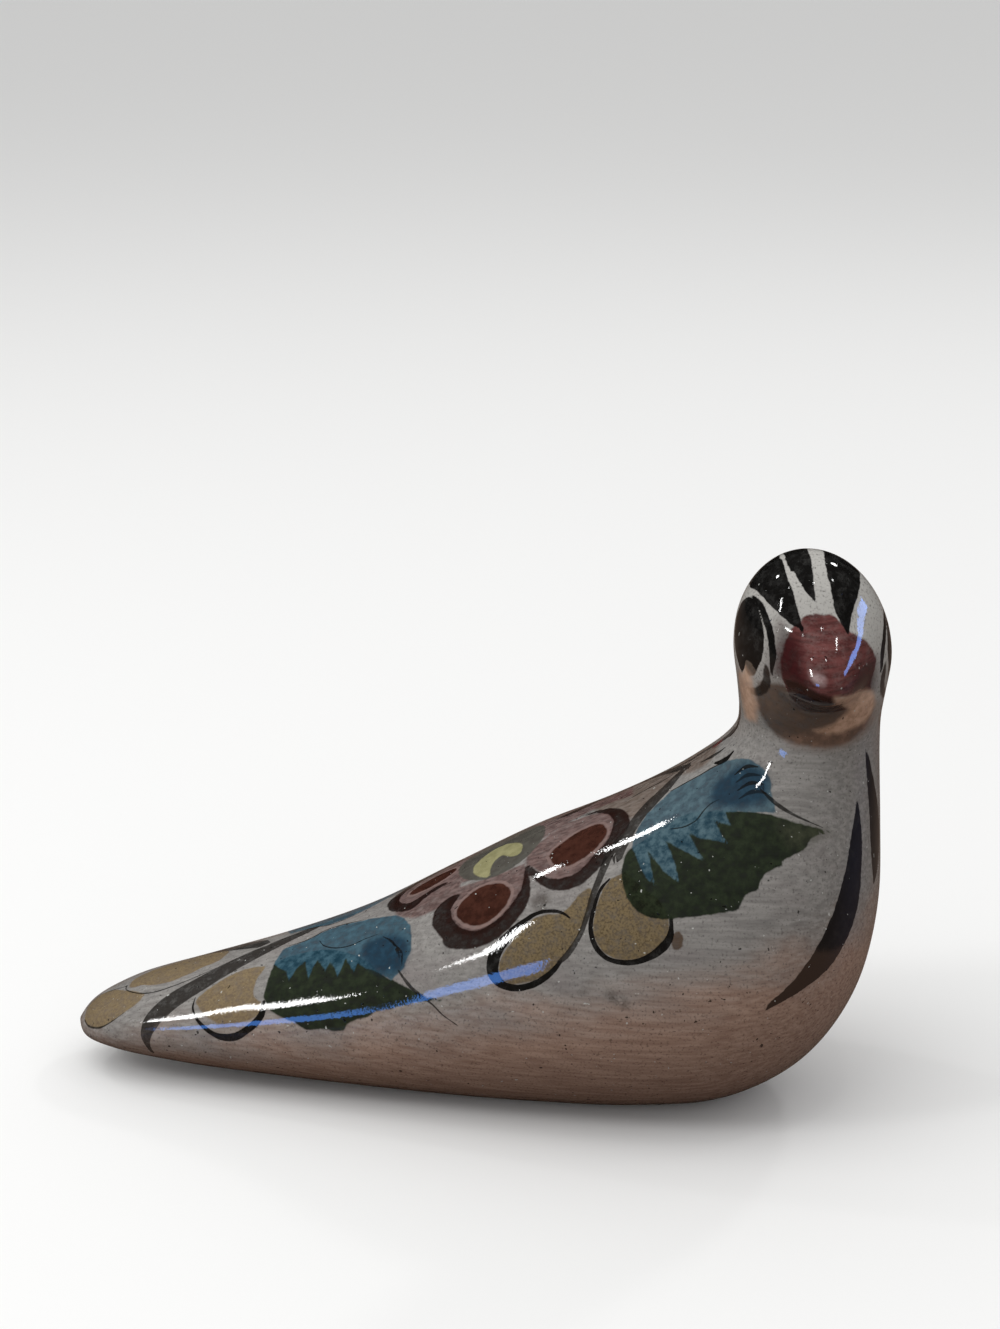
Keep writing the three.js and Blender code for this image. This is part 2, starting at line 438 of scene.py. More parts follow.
def tail_fruit(flat):
    """Two tan fruit along the top of the tail, each with a thin broken outline."""
    near_end = [
        (-16.4, -6), (-15.8, -1.4), (-13, 1), (-8.7, 0), (-4.5, -3.4), (-0.8, -5.9),
        (1.6, -8), (-0.3, -10.2), (-3.5, -11.5), (-6.9, -12.2), (-10.2, -12.1),
        (-13, -10.9), (-15.2, -8.8),
    ]
    # A paler tan than the flank's: partly a lighter wash, partly painted light.
    fill("top lit tan", flat, near_end)
    draw("fine", flat, near_end[1:4] + [(-4, -1.6)], (0.2, 0.3, 0.3, 0.2))
    lower_edge = near_end[:1] + near_end[:7:-1]
    draw("fine", flat, lower_edge, (0.3, 0.4, 0.4, 0.3, 0.2))
    fill("top lit tan", flat, [
        (-3.6, -2), (-3, 1.6), (1.1, 4.5), (7.2, 6.6), (13.4, 7.6), (18.6, 7),
        (21.9, 2.9), (20.1, -1.1), (16, -2.6), (12.1, -4.4), (7.9, -5.5), (3.5, -5.1),
        (0.1, -3.6), (-2.2, -3.5),
    ])
    draw("fine", flat, [
        (-4.5, -0.6), (-4.3, -3), (-1.8, -5.7), (1.7, -7.6), (5.7, -8), (9.9, -7.4),
        (15, -6.2), (20, -4.6),
    ], (0.2, 0.35, 0.4, 0.4, 0.4, 0.35, 0.3, 0.2))


def flower_petal(flat, angle, out):
    """One far petal of the flower: a mauve wash, a red-brown heart with a pale rim,
    and a maroon crescent round its outer end."""
    cos, sin = math.cos(math.radians(angle)), math.sin(math.radians(angle))

    def place(outwards, across):
        reach = out + outwards
        return (reach * cos - across * sin, reach * sin + across * cos)

    wash = [place(-11, 3.4), place(-6, 8.2), place(1, 10.6), place(7.4, 8.2),
            place(10.4, 2), place(9.4, -5), place(4, -10), place(-4, -8.6),
            place(-10.5, -3.6)]
    fill("mauve", flat, wash)
    heart = oval((0, 0), 11.25, 13.68, egg=-0.15)
    fill("heart", flat, [place(*spot) for spot in heart])
    outer = [place(-9.6, 5.6), place(-3.5, 10.4), place(3.6, 11.6), place(9.6, 7.4),
             place(11.8, 0), place(9.8, -7.4), place(3.8, -12), place(-4, -10.6),
             place(-9.4, -5.4)]
    inner = [place(-4.2, -7.8), place(3.2, -8.6), place(7, -5), place(7.9, 0.6),
             place(6.6, 5.8), place(2.6, 8.9), place(-3.6, 8.4)]
    fill("maroon", flat, outer + inner)


def flower(flat):
    """The big flower on the middle of the back, with five petals."""
    fill("mauve", flat, [
        (-27, 2), (-20, 9), (-14, 22), (0, 27), (14, 28), (26, 20), (33, 8), (34, 0),
        (24, 1), (12, -4), (2, -10), (-10, -8), (-20, -3),
    ])
    # The near petal.
    fill("maroon", flat, [
        (-10.6, -11.9), (-13.9, -11.1), (-17.6, -12.9), (-19.3, -16.3), (-19, -19),
        (-17.9, -22), (-18, -23.2), (-16.5, -25.2), (-12.2, -27.4), (-7.3, -28.4),
        (-3.4, -28.1), (0.9, -26.7), (4.8, -24.1), (6.6, -20.6), (6.8, -16.2),
        (6, -13.4), (5.6, -16), (4.4, -19), (2.9, -20.9), (0.8, -22.3), (-1.9, -23.7),
        (-5.9, -24.5), (-9.5, -24.1), (-12.5, -21.7), (-14, -18.5), (-14, -15.6),
        (-12.4, -13.4),
    ])
    fill("heart", flat, [
        (-0.2, -15.2), (1.5, -17.6), (1.4, -19.8), (-0.6, -22), (-4.2, -23.4),
        (-7.9, -23.4), (-11, -21.6), (-12.8, -18.4), (-12.4, -16.1), (-10.1, -14.2),
        (-6.4, -13), (-2.8, -13.7),
    ])
    fill("mauve", flat, [
        (-12, -9), (-6, -10.5), (0, -11.5), (6, -12), (6.6, -16), (4, -21), (-2, -25),
        (-9, -25.5), (-15, -21), (-15, -14),
    ])
    # The petal towards the neck.
    fill("maroon", flat, [
        (6, -13.2), (7.8, -17.9), (10.3, -21.4), (12.5, -23.2), (15.3, -24),
        (18.6, -24), (21.8, -22.6), (25.5, -20.5), (28.9, -17.3), (32.1, -13.6),
        (32.9, -10), (31.5, -6), (28.6, -2.6), (24.3, -0.4), (20, 0.2), (21.3, -1),
        (24.3, -1.9), (27.3, -4.6), (28.8, -8.6), (28.2, -12), (26.2, -15.4),
        (23, -17.6), (19.8, -20), (16.7, -20.8), (13.8, -20.5), (11.5, -19.3),
        (9.3, -16.4), (7.4, -13.4),
    ])
    fill("heart", flat, [
        (12.3, -12.6), (14.1, -10.9), (17.5, -9), (20.9, -7.6), (24.3, -7.4),
        (26.4, -8.9), (27, -11.9), (25.7, -14.2), (23.2, -16.2), (19.7, -17.6),
        (15.9, -17.9), (13.4, -16.2),
    ])
    fill("mauve", flat, [
        (8, -8), (13, -4), (18, -1.5), (25, -2), (29, -6), (29, -12), (25, -17),
        (18, -21), (12, -20), (8.5, -15), (6.5, -12),
    ])
    # The petal towards the tail.
    fill("maroon", flat, [
        (-11.5, -6.5), (-15, -5.2), (-20, -6.4), (-24.5, -8.6), (-28.6, -6.4),
        (-31, -3), (-31.4, 1.6), (-28, 6), (-22, 8.6), (-16, 8), (-21, 6.4),
        (-26, 4), (-28, 0.6), (-27.6, -2.8), (-25, -5.2), (-21, -4.6), (-16, -3.8),
    ])
    fill("heart", flat, oval((-19, 0.4), 13, 5.6, turn=6))
    fill("mauve", flat, [
        (-11, -9), (-15, -12.4), (-19.5, -13), (-24, -12), (-28.5, -7.5), (-29.5, -1),
        (-28, 5), (-21, 8.5), (-13, 7),
    ])
    flower_petal(flat, 118, 18.5)
    flower_petal(flat, 46, 20.5)
    # The flower's eye.
    fill("disc", flat, oval((-0.1, -0.8), 23.4, 22, turn=-8))
    fill("olive", flat, [
        (4.9, -1.9), (5.9, -4.6), (5.1, -7.4), (2.9, -6.8), (0.6, -4.4), (-1.2, -4.4),
        (-2.5, -6.5), (-3, -9), (-2.8, -10.8), (-4.8, -10), (-7, -7), (-7.6, -3.7),
        (-6.4, -1.2), (-3.9, 1.2), (-1.3, 2.2), (1.8, 1.2),
    ])


def nape_marks(flat):
    """A dusky wash from the flower to the neck, dark lines along the ridge of the
    back, and short marks where the back meets the neck."""
    fill("dusk", flat, [
        (22, 10), (24, 1), (28, -6), (33, -11), (37, -10), (42, -5.6), (46, -2.4),
        (49.5, -4.8), (54, -5.4), (57, -2), (57, 3), (52, 7), (45, 9), (38, 12), (30, 13),
    ])
    draw("fine", flat, [(-32, 5), (-26, 7.4), (-20, 8.2), (-14, 7.4)], (0.3, 1.6, 1.6, 0.4))
    draw("fine", flat, [
        (13, 5), (20, 7.6), (27, 8.6), (35, 8), (42, 6), (49, 3.6), (55, 2.8), (62, -0.6),
    ], (0.3, 1.3, 1.6, 1.3, 1, 1.4, 1.8, 2.2))
    draw("fine", flat, [(32, -2), (37, -0.8), (42, -0.4), (46, 0.6)], (0.2, 0.5, 0.6, 0.3))
    draw("fine", flat, [(52, -2.8), (55.3, -3.7), (59, -4.4)], (0.3, 1.5, 0.5))
    draw("outline", flat, [(55.6, -7.2), (58, -8.8), (61, -8.6)], (0.5, 2.2, 0.5))
    draw("outline", flat, [(61, -1.4), (64, -2.6), (67.4, -5.6)], (0.8, 1.8, 0.6))
    fill("red", flat, oval((57, 1.4), 3.4, 2))


def breast_crescent(flat):
    """A long black crescent down the breast, thinned to brown at its lower end."""
    fill("black", flat, [
        (22.4, -5.8), (18.4, -4.2), (13.4, -1.9), (8.3, 0.3), (3.4, 2.9), (-1.6, 5.6),
        (-6, 8.5), (-10.1, 11.3), (-13.9, 14.2), (-17.6, 17.4), (-20.5, 20.4),
        (-23.6, 23), (-20.9, 17.8), (-18.7, 13.2), (-16.5, 9.3), (-14, 5.5),
        (-10.9, 2.5), (-7.4, -0.5), (-3.2, -2.7), (0.7, -4), (6, -5.1), (11.4, -6.1),
        (16.1, -6.2),
    ])
    fill("thinned", flat, [
        (-8.6, 12), (-9.6, 9.6), (-10.6, 4.5), (-9, 0), (-12, -2), (-18, 6), (-26, 22),
        (-25, 26), (-18, 20),
    ])


def second_crescent(flat):
    """A shorter crescent, farther round the breast."""
    fill("black", flat, [
        (33, -9.6), (25.2, -10), (19, -10.3), (11, -10.3), (6.3, -10.5), (-0.4, -11.6),
        (1.5, -14.2), (4.6, -16.4), (9.1, -17.8), (14.2, -17.2), (19.7, -15.4),
        (24.8, -13.2), (29.8, -11.4),
    ])


def crown_wedges(flat):
    """Three black wedges that run down from the crown towards the beak."""
    fill("black", flat, [
        (-17.4, 9.2), (-16.6, 15), (-13, 20), (-9.8, 20), (-8.9, 15.4), (-7.3, 10.9),
        (-6.3, 6.4), (-5.2, 3.1), (-4.2, -0.3), (-3.2, -4), (-2.4, -6.8),
        (-2.7, -8.2), (-3.4, -6.4), (-5.1, -5.5), (-7.4, -3.4), (-9.8, -0.8),
        (-12.4, 2.4), (-14.7, 5.4),
    ])
    fill("black", flat, [
        (-7.6, 16), (-8, 20), (-2.2, 20), (-1.5, 16), (-1, 12.7), (-0.5, 7.5),
        (-0.2, 3.5), (0.1, -0.6), (-1, 0.7), (-2.6, 2.9), (-4.2, 6.2), (-5.8, 10.4),
    ])
    fill("black", flat, [
        (2.7, 15.8), (3.2, 20), (10.5, 20), (12.5, 14), (11.7, 8.6), (10.9, 4.9),
        (9.6, 1.1), (8.6, -1.9), (8, -4.9), (7.4, -7.6), (6.5, -6), (5.3, -4.1),
        (4.4, -2), (3.8, 0.9), (3.3, 3.9), (2.7, 7.1), (2.4, 11.2),
    ])


def eye(flat):
    """A long black eye, a lash stroke beside it, a brown hook under it and the brown of
    the jaw, which is partly a painted warm reflection from below."""
    fill("black", flat, [
        (-2.9, 8.3), (-0.2, 6.9), (1.4, 5.1), (2.9, 2.5), (3.6, -0.2), (3.6, -3),
        (2.7, -5.4), (0.8, -8), (-1.2, -6), (-2.7, -5.8), (-3.6, -7.6), (-5.4, -9.2),
        (-7.6, -6), (-9.4, -1), (-9.4, 3.6), (-6.8, 7.4),
    ])
    fill("umber", flat, [
        (2.4, -5.6), (0.4, -8.6), (-2, -9.6), (-3.6, -7.8), (-2.6, -5), (0, -4.6),
    ])
    fill("black", flat, [
        (-3.7, 8.6), (-1.6, 8.6), (1.5, 7.4), (4.2, 4.6), (5.8, 1.7), (6.8, -1),
        (7.6, -4.1), (7.3, -5.6), (6.2, -8.6), (5.5, -7.8), (5.5, -4.7), (5.2, -2.6),
        (4.8, -0.9), (3.8, 1.8), (2, 4.9), (-0.4, 6.9),
    ])
    fill("hook", flat, [
        (-5, -12.2), (-3.4, -12.2), (-1, -12), (1, -11.2), (2.4, -9.7), (3.2, -7.6),
        (4, -5.8), (5, -7), (5.2, -9.2), (4.2, -11.4), (2.2, -13.1), (-0.6, -13.9),
        (-3.4, -13.4),
    ])
    # The jaw's tan: partly paint, partly a painted warm reflection from below.
    fill("jaw", flat, oval((-6.6, -14.4), 6, 10.5, turn=12))


FACE_STARTS = 4


def face():
    """The front of the head, flat, as seen along the beak."""
    ahead = np.array([
        math.cos(BEAK_TURN) * math.cos(BEAK_DROOP),
        math.sin(BEAK_TURN) * math.cos(BEAK_DROOP),
        -math.sin(BEAK_DROOP),
    ])
    up = np.cross(ahead, ACROSS_FACE)
    away = skin - HEAD
    flat = np.stack([away @ ACROSS_FACE, away @ up], 1)
    flat[away @ ahead < FACE_STARTS] = OFF_PATCH
    return flat


def beak(flat):
    """A red beak with a dark underside, a brown chin below it, and the pale lip that
    curls round from the beak's corner. The underside's dark is partly painted shade,
    the chin's brown partly the beak's painted shadow, and the pale lip and the jaw
    partly a painted warm reflection from below."""
    # The chin is painted brown: partly a brown wash, partly the beak's painted shadow.
    fill("chin", flat, [
        (-13.2, -5.5), (-10.6, -4.1), (-8.2, -2.4), (-6, -4), (0, -7), (8, -8),
        (12.2, -9), (12.4, -12.5), (11, -15.6), (8.9, -17.8), (6.4, -19.2), (3, -19.6),
        (-1.5, -19.3), (-5.8, -18.8), (-9, -17.8), (-11.8, -14.6), (-13.5, -10.8),
    ])
    fill("red", flat, [
        (-5.2, 9.9), (-3.7, 11.1), (-1.8, 11.5), (0.6, 11.5), (2.3, 11.2), (3.6, 10.2),
        (5.1, 8.7), (7.7, 6.9), (9.6, 5.5), (10.9, 3.6), (12, 1.4), (12.3, -0.2),
        (11.8, -2), (11.3, -3.8), (11.5, -6.5), (9.2, -5.4), (6, -3.6), (3.2, -2.2),
        (1.6, -1.8), (2, -3.4), (4.2, -7.1), (6.2, -9.4), (0.8, -9.4), (-2, -9.3),
        (-3.6, -9.1), (-5.3, -7.6), (-6.8, -5.1), (-7.9, -3.6), (-8.5, -2), (-9, -0.6),
        (-9.2, 2.2), (-8.7, 4.1), (-8.2, 6), (-7.3, 7.8), (-6.2, 9.1),
    ])
    # The beak is painted darker red down its left flank and at its right corner.
    fill("wine", flat, [
        (-11, -2), (-11, 3), (-9, 9), (-5, 7.2), (-4.6, 3), (-3.2, -0.6),
    ])
    fill("wine", flat, [
        (5.5, -0.2), (7.5, 1.6), (9.8, 1.4), (12, 0.6), (12.6, -3), (12.4, -7),
        (8.9, -5.2), (6.5, -2.6),
    ])
    # The beak's underside is painted dark: partly darker red paint, partly painted shade.
    fill("under", flat, [
        (-8.6, -1), (-5.7, 0.1), (-4.1, -0.2), (-2.2, -0.6), (0, -1.2), (2.5, -3.2),
        (5.9, -9.4), (0.8, -9.4), (-3.6, -9.2), (-5.3, -7.8), (-7.4, -4),
    ])
    # The pale lip: partly pale tan paint, partly a painted warm reflection from below.
    fill("lip", flat, [
        (1.4, -1.6), (2, -3.8), (4.2, -7.2), (6.4, -9.5), (5.2, -11.6), (2.4, -13.6),
        (-1, -14.8), (2, -16), (7, -15.6), (11, -14.2), (12.7, -11.8), (12.7, -9.2),
        (11.8, -7), (9.4, -5.2), (6, -3.4), (3.2, -1.9),
    ])
    # The jaw's tan: partly paint, partly a painted warm reflection from below.
    fill("jaw", flat, [
        (6, -10), (3, -14), (-1, -15.8), (-5, -17), (-6, -18.6), (-2, -19.4),
        (4, -19.4), (9, -18.6), (12.6, -16), (13, -11), (10, -8),
    ])
    # A pale strip down the cheek's edge: partly pale tan paint, partly a painted warm
    # reflection.
    fill("lip", flat, [
        (-15.9, -3.3), (-16.6, -8.2), (-15.8, -13.4), (-14.7, -18), (-12.9, -17),
        (-13, -11.7), (-14, -8.4), (-14.6, -4.9),
    ])
    # A pale spot on the beak's ridge: partly worn glaze, partly a painted highlight.
    fill("worn", flat, oval((-2.1, 2.1), 3.4, 2, turn=-20))


for side in ("right", "left"):
    front_leaf(patch(**SHOULDER, side=side))
    shoulder_stroke(patch(**SHOULDER, side=side))
    flank_fruit(patch(**FLANK, side=side))
    rear_leaf(patch(**RUMP, side=side))
    rump_and_tail(patch(**RUMP, side=side), from_ridge=side == "right")
    breast_crescent(patch(**BREAST, side=side))
second_crescent(patch(**BREAST))
tail_fruit(patch(**TAIL))
flower(patch(**BACK))
nape_marks(patch(**BACK))
for side in ("right", "nape"):
    crown_wedges(patch(**CROWN, side=side))
eye(patch(**CHEEK))
eye(patch(**CHEEK, side="far cheek", shift=(-6.5, 0)))
beak(face())


# The painted distances go on the mesh, for the glaze to read

def keep_on_mesh():
    """Each paint's depth is one number a vertex, each kit of lines one vector."""
    for paint, depth in paints.items():
        kept = bird.data.attributes.new(paint, "FLOAT", "POINT")
        kept.data.foreach_set("value", depth.astype(np.float32))
    for kit, field in lines.items():
        kept = bird.data.attributes.new(kit, "FLOAT_VECTOR", "POINT")
        kept.data.foreach_set("vector", field.astype(np.float32).ravel())


keep_on_mesh()


# The glaze

def linear(hex_colour):
    """An sRGB hex colour as linear RGBA."""
    parts = [int(hex_colour[i:i + 2], 16) / 255 for i in (1, 3, 5)]
    return tuple(p / 12.92 if p <= 0.04045 else ((p + 0.055) / 1.055) ** 2.4
                 for p in parts) + (1.0,)


def painted_glaze():
    """Painted earthenware under a clear gloss glaze: slip colours laid by brush on a
    burnished grey ground, fired, and covered by one glassy coat. To the eye the
    colours are soft and matt, and sharp highlights lie over them."""
    material = bpy.data.materials.new("painted_glaze_earthenware")
    material.use_nodes = True
    tree = material.node_tree
    tree.nodes.clear()

    def add(kind, inputs=(), **settings):
        """A node with its settings, and its inputs as values or as links."""
        node = tree.nodes.new(kind)
        for name, value in settings.items():
            setattr(node, name, value)
        for key, value in dict(inputs).items():
            socket = node.inputs[key]
            if isinstance(value, bpy.types.NodeSocket):
                tree.links.new(value, socket)
            else:
                socket.default_value = value
        return node

    where = add("ShaderNodeTexCoord").outputs["Object"]

    def noise(size_mm, stretch=(1, 1, 1), detail=2.0, rough=0.5):
        """Noise whose features are about size_mm across, drawn out by stretch."""
        scaled = add("ShaderNodeMapping", {
            "Vector": where, "Scale": tuple(1 / s for s in stretch)}).outputs[0]
        return add("ShaderNodeTexNoise", {
            "Vector": scaled, "Scale": 1 / (size_mm * MM), "Detail": detail,
            "Roughness": rough}).outputs["Fac"]

    def number(operation, first, second=0.0, third=0.0):
        return add("ShaderNodeMath", {0: first, 1: second, 2: third},
                   operation=operation).outputs[0]

    def ramp(value, low, high, to_low=0.0, to_high=1.0):
        return add("ShaderNodeMapRange", {
            "Value": value, "From Min": low, "From Max": high,
            "To Min": to_low, "To Max": to_high},
            interpolation_type="SMOOTHSTEP").outputs["Result"]

    def over(below, colour, cover):
        """A colour laid over what is below it, as far as it covers."""
        return add("ShaderNodeMix", {"Factor": cover, "A": below, "B": colour},
                   data_type="RGBA").outputs["Result"]

    # What the brush leaves: edges that waver by a third of a millimetre, streaks along
    # the bird, and grit. Real grit is finer, and is drawn as coarse as it has to be to
    # show.
    waver = number("MULTIPLY", number("SUBTRACT", noise(1.6, detail=3), 0.5), 0.7)
    streaks = noise(0.9, (16, 1, 1))
    broad = noise(9, (3, 1, 1))
    mottle = noise(2.2, detail=4, rough=0.65)
    grit = noise(0.55, detail=1)
    sand = number("ADD", number("MULTIPLY", grit, 0.6), number("MULTIPLY", mottle, 0.4))
    specks = ramp(grit, 0.68, 0.75)
    sparse = ramp(noise(1.3, detail=1), 0.75, 0.77)
    # Where the painted glints fall: tiny pale dots standing for light caught in the glaze.
    painted_glints = ramp(noise(1.05, detail=1), 0.765, 0.785)

    def depth_of(paint):
        read = add("ShaderNodeAttribute", attribute_type="GEOMETRY", attribute_name=paint)
        return number("ADD", read.outputs["Fac"], waver)

    def cover_of(cover, worn):
        """How far a paint covers: by cover where it is thick, less by worn where thin."""
        return ramp(mottle, 0.25, 0.6, cover - worn, cover)

    def wash(below, paint, dark, light, soft=0.25, cover=1.0, worn=0.0, grain=mottle):
        """A paint between two colours, laid where its shapes are. Its edges fade out
        over soft mm on either side."""
        depth = depth_of(paint)
        inside = ramp(depth, -soft, soft)
        colour = over(linear(dark), linear(light), ramp(grain, 0.3, 0.7))
        return over(below, colour, number("MULTIPLY", inside, cover_of(cover, worn)))

    def strokes(below, kit, dark, light, cover=1.0, worn=0.0):
        """The brush lines of one kit, in one paint."""
        read = add("ShaderNodeAttribute", attribute_type="GEOMETRY", attribute_name=kit)
        split = add("ShaderNodeSeparateXYZ", {"Vector": read.outputs["Vector"]})
        side = number("ABSOLUTE", split.outputs["X"])
        room = number("ADD", split.outputs["Y"], number("MULTIPLY", waver, 0.35))
        inside = ramp(number("SUBTRACT", room, side), -0.08, 0.1)
        near = ramp(split.outputs["Z"], 0.9, 0.7)
        held = number("MULTIPLY", number("MULTIPLY", inside, near), cover_of(cover, worn))
        colour = over(linear(dark), linear(light), ramp(mottle, 0.35, 0.7))
        return over(below, colour, held)

    # The ground: grey slip above, wiped down to warm brown clay below. The line between
    # them falls towards the tail. The grey is painted lighter up the neck and head:
    # painted light from above.
    place = add("ShaderNodeSeparateXYZ", {"Vector": where})
    line = number("MULTIPLY_ADD", place.outputs["X"], -0.25, place.outputs["Z"])
    line = number("MULTIPLY_ADD", number("SUBTRACT", broad, 0.5), 0.02, line)
    line = number("MULTIPLY_ADD", number("SUBTRACT", streaks, 0.5), 0.006, line)
    slip = ramp(line, 0.018, 0.038)
    grey = over(linear("#7c7976"), linear("#9a9793"), ramp(streaks, 0.2, 0.8))
    grey = over(grey, linear("#88807e"), ramp(broad, 0.5, 0.75, 0.0, 0.5))
    # Painted light: the grey lightens with height, towards the head.
    grey = over(grey, linear("#bfbdb8"), ramp(place.outputs["Z"], 0.082, 0.122, 0.0, 0.85))
    grey = over(grey, linear("#6b6865"), ramp(grit, 0.48, 0.78, 0.0, 0.55))
    brown = over(linear("#967a6b"), linear("#b79b8a"), ramp(streaks, 0.2, 0.8))
    brown = over(brown, linear("#675449"), ramp(grit, 0.48, 0.78, 0.0, 0.5))
    colour = over(brown, grey, slip)
    colour = wash(colour, "soot", "#2c2622", "#4a423c", soft=1.4, cover=0.7, worn=0.7)

    # Washes and motifs, from the first laid to the last.
    colour = wash(colour, "tan", "#50422d", "#7e6d4f", cover=0.94, worn=0.2, grain=sand)
    # Rump and tail fruit: a paler tan, partly a lighter wash, partly painted light.
    colour = wash(colour, "top lit tan", "#6b5a45", "#8a7859", cover=0.92, worn=0.15,
                  grain=sand)
    colour = wash(colour, "umber", "#3f2c1c", "#5a4430", cover=0.85, worn=0.1)
    colour = strokes(colour, "outline", "#0c0b0a", "#1b1917", worn=0.1)
    colour = wash(colour, "dusk", "#5d4e44", "#786a60", soft=0.9, cover=0.85, worn=0.2,
                  grain=streaks)
    colour = wash(colour, "mauve", "#523b38", "#745b57", soft=0.5, cover=0.85, worn=0.2,
                  grain=streaks)
    colour = wash(colour, "maroon", "#130907", "#261511", cover=0.96, worn=0.1)
    heart = depth_of("heart")
    rim = number("MULTIPLY", ramp(heart, -0.9, -0.7), ramp(mottle, 0.3, 0.6, 0.2, 0.65))
    colour = over(colour, linear("#8d7771"), rim)
    colour = wash(colour, "heart", "#321a13", "#472920", cover=0.98)
    colour = wash(colour, "disc", "#474640", "#5b5952", cover=0.95, worn=0.1)
    colour = wash(colour, "olive", "#8b8762", "#a09c74", cover=0.97)
    colour = strokes(colour, "bold", "#171513", "#34302d", cover=0.94, worn=0.25)
    colour = wash(colour, "green", "#10170f", "#2d3526", cover=0.98, worn=0.04)
    colour = wash(colour, "dry green", "#3f4234", "#4e5040", soft=2.2, cover=0.75, worn=0.3)
    colour = wash(colour, "blue", "#24404f", "#587079", cover=0.94, worn=0.15)
    colour = wash(colour, "deep blue", "#193a4a", "#466573", cover=0.94, worn=0.15)
    colour = wash(colour, "navy", "#152839", "#223d50", soft=1.6, cover=0.85, worn=0.2)
    colour = strokes(colour, "hatch", "#10100f", "#1b1f24", cover=0.8, worn=0.3)
    colour = strokes(colour, "fine", "#10100f", "#22201e", cover=0.9, worn=0.25)

    # The head.
    # Chin: a brown wash and the beak's painted shadow.
    colour = wash(colour, "chin", "#4d3e35", "#6a5648", soft=0.8, cover=0.92, worn=0.1)
    # Jaw: tan paint and painted warm reflection.
    colour = wash(colour, "jaw", "#735a4b", "#937564", soft=2.4, cover=0.85, worn=0.3)
    brushed = noise(0.8, (6, 6, 1), 3)
    colour = wash(colour, "red", "#48201f", "#6c3c3a", cover=0.97, worn=0.1,
                  grain=brushed)
    # Darker red at the beak's left flank and right corner.
    colour = wash(colour, "wine", "#260c0d", "#3c181a", soft=2.2, cover=0.88, worn=0.1)
    # Pale spot: worn glaze and a painted highlight.
    colour = wash(colour, "worn", "#9a8685", "#b5a3a2", soft=0.8, cover=0.7, worn=0.6)
    colour = wash(colour, "hook", "#15100c", "#2b211b", soft=0.3, cover=0.95, worn=0.15)
    # Underside: darker red paint and painted shade.
    colour = wash(colour, "under", "#22100c", "#341b16", soft=0.5, cover=0.95, worn=0.05)
    # Lip: pale tan paint and painted warm reflection.
    colour = wash(colour, "lip", "#bd987f", "#dab79e", soft=0.9, cover=0.92, worn=0.2)
    colour = wash(colour, "black", "#0a0a0a", "#171615", soft=0.15, worn=0.06)
    # Black slip that ran out to brown.
    thinned = number("MULTIPLY", ramp(depth_of("thinned"), -1.2, 1.2),
                     ramp(depth_of("black"), -0.15, 0.15))
    colour = over(colour, linear("#40322a"), number("MULTIPLY", thinned, 0.9))

    # Iron specks in the clay show through everything.
    colour = over(colour, linear("#2b2522"), number("MULTIPLY", specks, 0.25))
    colour = over(colour, linear("#141210"), number("MULTIPLY", sparse, 0.8))
    # Painted glints: tiny pale dots that stand for light caught in pits of the glaze.
    colour = over(colour, linear("#c9cbc6"), number("MULTIPLY", painted_glints, 0.75))

    # The glaze pools and dips a little, and has a few pinholes.
    height = number("ADD", number("MULTIPLY", noise(9, detail=1), 0.22),
                    number("MULTIPLY", mottle, 0.05))
    height = number("ADD", height, number("MULTIPLY", grit, 0.045))
    height = number("SUBTRACT", height, number("MULTIPLY", sparse, 0.06))
    bump = add("ShaderNodeBump", {"Strength": 0.5, "Distance": 0.35 * MM, "Height": height})
    shader = add("ShaderNodeBsdfPrincipled", {
        "Base Color": colour, "Roughness": ramp(streaks, 0.2, 0.8, 0.42, 0.58),
        "IOR": 1.5, "Specular IOR Level": 0.0, "Coat Weight": 1.0, "Coat Roughness": 0.035,
        "Coat IOR": 1.5, "Normal": bump.outputs["Normal"],
        "Coat Normal": bump.outputs["Normal"]})
    add("ShaderNodeOutputMaterial", {"Surface": shader.outputs["BSDF"]})
    return material


bird.data.materials.append(painted_glaze())
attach(bird, "root")
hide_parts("bird")


# The floor, the light and the camera

GROUND_SIZE = 40


def plain_material(name, colour, roughness):
    """A material of one colour, without a pattern."""
    material = bpy.data.materials.new(name)
    material.use_nodes = True
    shader = material.node_tree.nodes["Principled BSDF"]
    shader.inputs["Base Color"].default_value = linear(colour)
    shader.inputs["Roughness"].default_value = roughness
    return material


def make_ground(name, height, material):
    """A wide flat ground that isn't part of the bird."""
    deselect_all()
    bpy.ops.mesh.primitive_plane_add(size=GROUND_SIZE, location=(0, 0, height))
    ground = bpy.context.active_object
    ground.name = name
    ground.data.materials.append(material)
    return ground


# The bird was photographed on a brown table and then cut out on to white. Rolled matt
# paper scatters light evenly and shows no shine: it is the floor that the camera sees.
# Waxed wood is brown with a dull sheen: it is what lights and colours the glaze.
paper = make_ground("paper", 0, plain_material("rolled_matt_paper", "#f2f2f1", 0.9))
paper.visible_diffuse = False
paper.visible_glossy = False
paper.visible_shadow = False
table = make_ground("table", -0.001, plain_material("waxed_brown_wood", "#604c3e", 0.6))
table.visible_camera = False


MIDDLE = Vector((0.03, 0, 0.06))


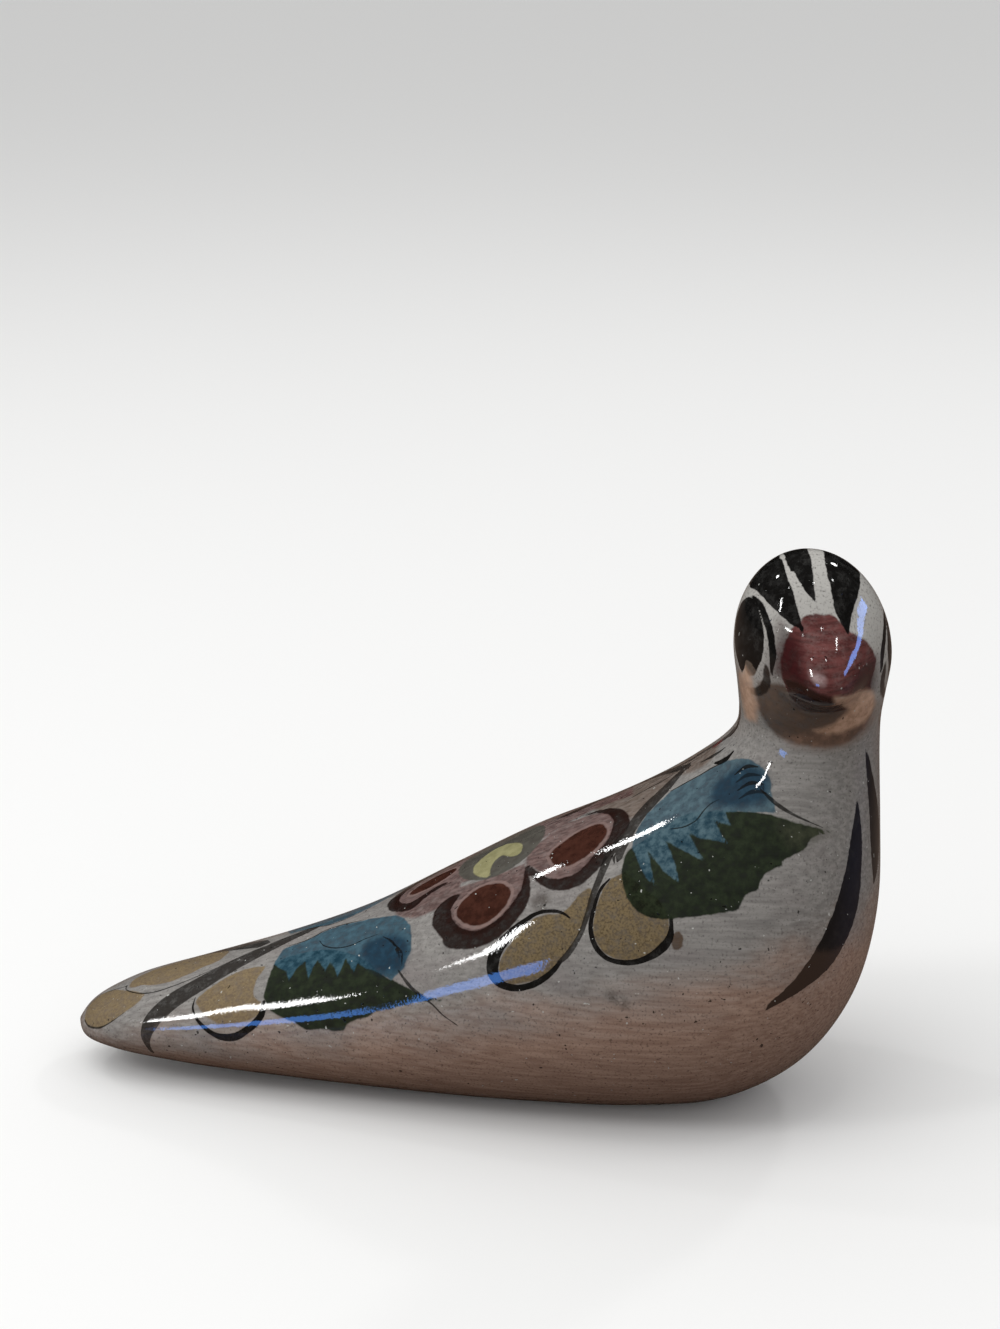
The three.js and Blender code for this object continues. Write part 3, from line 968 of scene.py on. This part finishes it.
def lamp(name, direction, size, brightness, colour="#ffffff", along=(0, 1, 0),
         distance=1.5, shape="RECTANGLE"):
    """A soft light that hangs in a direction from the bird's middle and faces it. Its
    first size runs as near as it can to along; its brightness is that of its face."""
    light = bpy.data.lights.new(name, "AREA")
    light.shape = shape
    light.size, light.size_y = size
    light.energy = math.pi * size[0] * size[1] * brightness
    light.color = linear(colour)[:3]
    hung = bpy.data.objects.new(name, light)
    bpy.context.scene.collection.objects.link(hung)
    back = Vector(direction).normalized()
    first = Vector(along)
    first = (first - back * first.dot(back)).normalized()
    second = back.cross(first)
    turned = Matrix((first, second, back)).transposed().to_4x4()
    hung.matrix_world = Matrix.Translation(MIDDLE + back * distance) @ turned
    return hung


# The ceiling lights the bird but isn't mirrored: its disc would show on the crown.
ceiling = lamp("ceiling", (-0.35, -0.25, 0.9), (1.6, 1.6), 1.2, distance=1.8, shape="DISK")
ceiling.visible_glossy = False

# The tubes make the white streaks on the tail, flank and shoulder.
lamp("long_tube", (-0.69, -0.40, 0.60), (0.34, 0.06), 40, along=(0.24, 0.66, 0.72))
lamp("short_tube", (-0.592, 0.303, 0.747), (0.085, 0.075), 44, along=(-0.15, -0.15, -0.85))

# The windows are only mirrored in the glaze: they would tint the pale floor blue.
for name, direction, size, brightness, colour, along in [
    ("sky_window", (-0.60, -0.75, 0.27), (0.34, 0.22), 8.5, "#5a9cff", (1, 0, 0.1)),
    ("side_window", (0.90, 0.16, 0.385), (0.6, 0.2), 9, "#7aa6ff", (0, 1, 0)),
]:
    lamp(name, direction, size, brightness, colour, along).visible_diffuse = False

# The bulbs make the small white highlights on the crown and beak.
for i, (size, direction) in enumerate([
    (0.035, (-0.45, -0.20, 0.87)), (0.07, (0.13, -0.20, 0.97)),
    (0.14, (0.43, 0.62, 0.66)), (0.06, (0.51, 0.06, 0.86)),
]):
    lamp("bulb_%d" % i, direction, (size, size), 24, shape="DISK")

# The sky's even light fills the shadows. Mirrored, it would veil the dark paints.
world = bpy.data.worlds.new("studio")
world.use_nodes = True
world.node_tree.nodes["Background"].inputs["Color"].default_value = (1, 1, 1, 1)
world.node_tree.nodes["Background"].inputs["Strength"].default_value = 0.73
world.cycles_visibility.glossy = False
bpy.context.scene.world = world
bpy.context.scene.view_settings.view_transform = "Standard"

# The photograph is 1000 by 1329, taken from the bird's right, a little ahead of it.
LONG_SIDE = 1329
FOCAL = 2342.3
YAW = math.radians(5)
ABOVE = math.radians(18)
AIM = Vector((7.25, 0, 104.6)) * MM
DISTANCE = 540 * MM


def make_camera():
    """The camera of the photograph, aimed at what lies in the middle of its picture."""
    lens = bpy.data.cameras.new("camera")
    lens.sensor_width = 36
    lens.lens = FOCAL / LONG_SIDE * lens.sensor_width
    lens.clip_start = 0.01
    camera = bpy.data.objects.new("camera", lens)
    bpy.context.scene.collection.objects.link(camera)
    back = Vector((
        math.sin(YAW) * math.cos(ABOVE),
        -math.cos(YAW) * math.cos(ABOVE),
        math.sin(ABOVE),
    ))
    camera.location = AIM + back * DISTANCE
    camera.rotation_mode = "QUATERNION"
    camera.rotation_quaternion = (-back).to_track_quat("-Z", "Y")
    bpy.context.scene.camera = camera


make_camera()
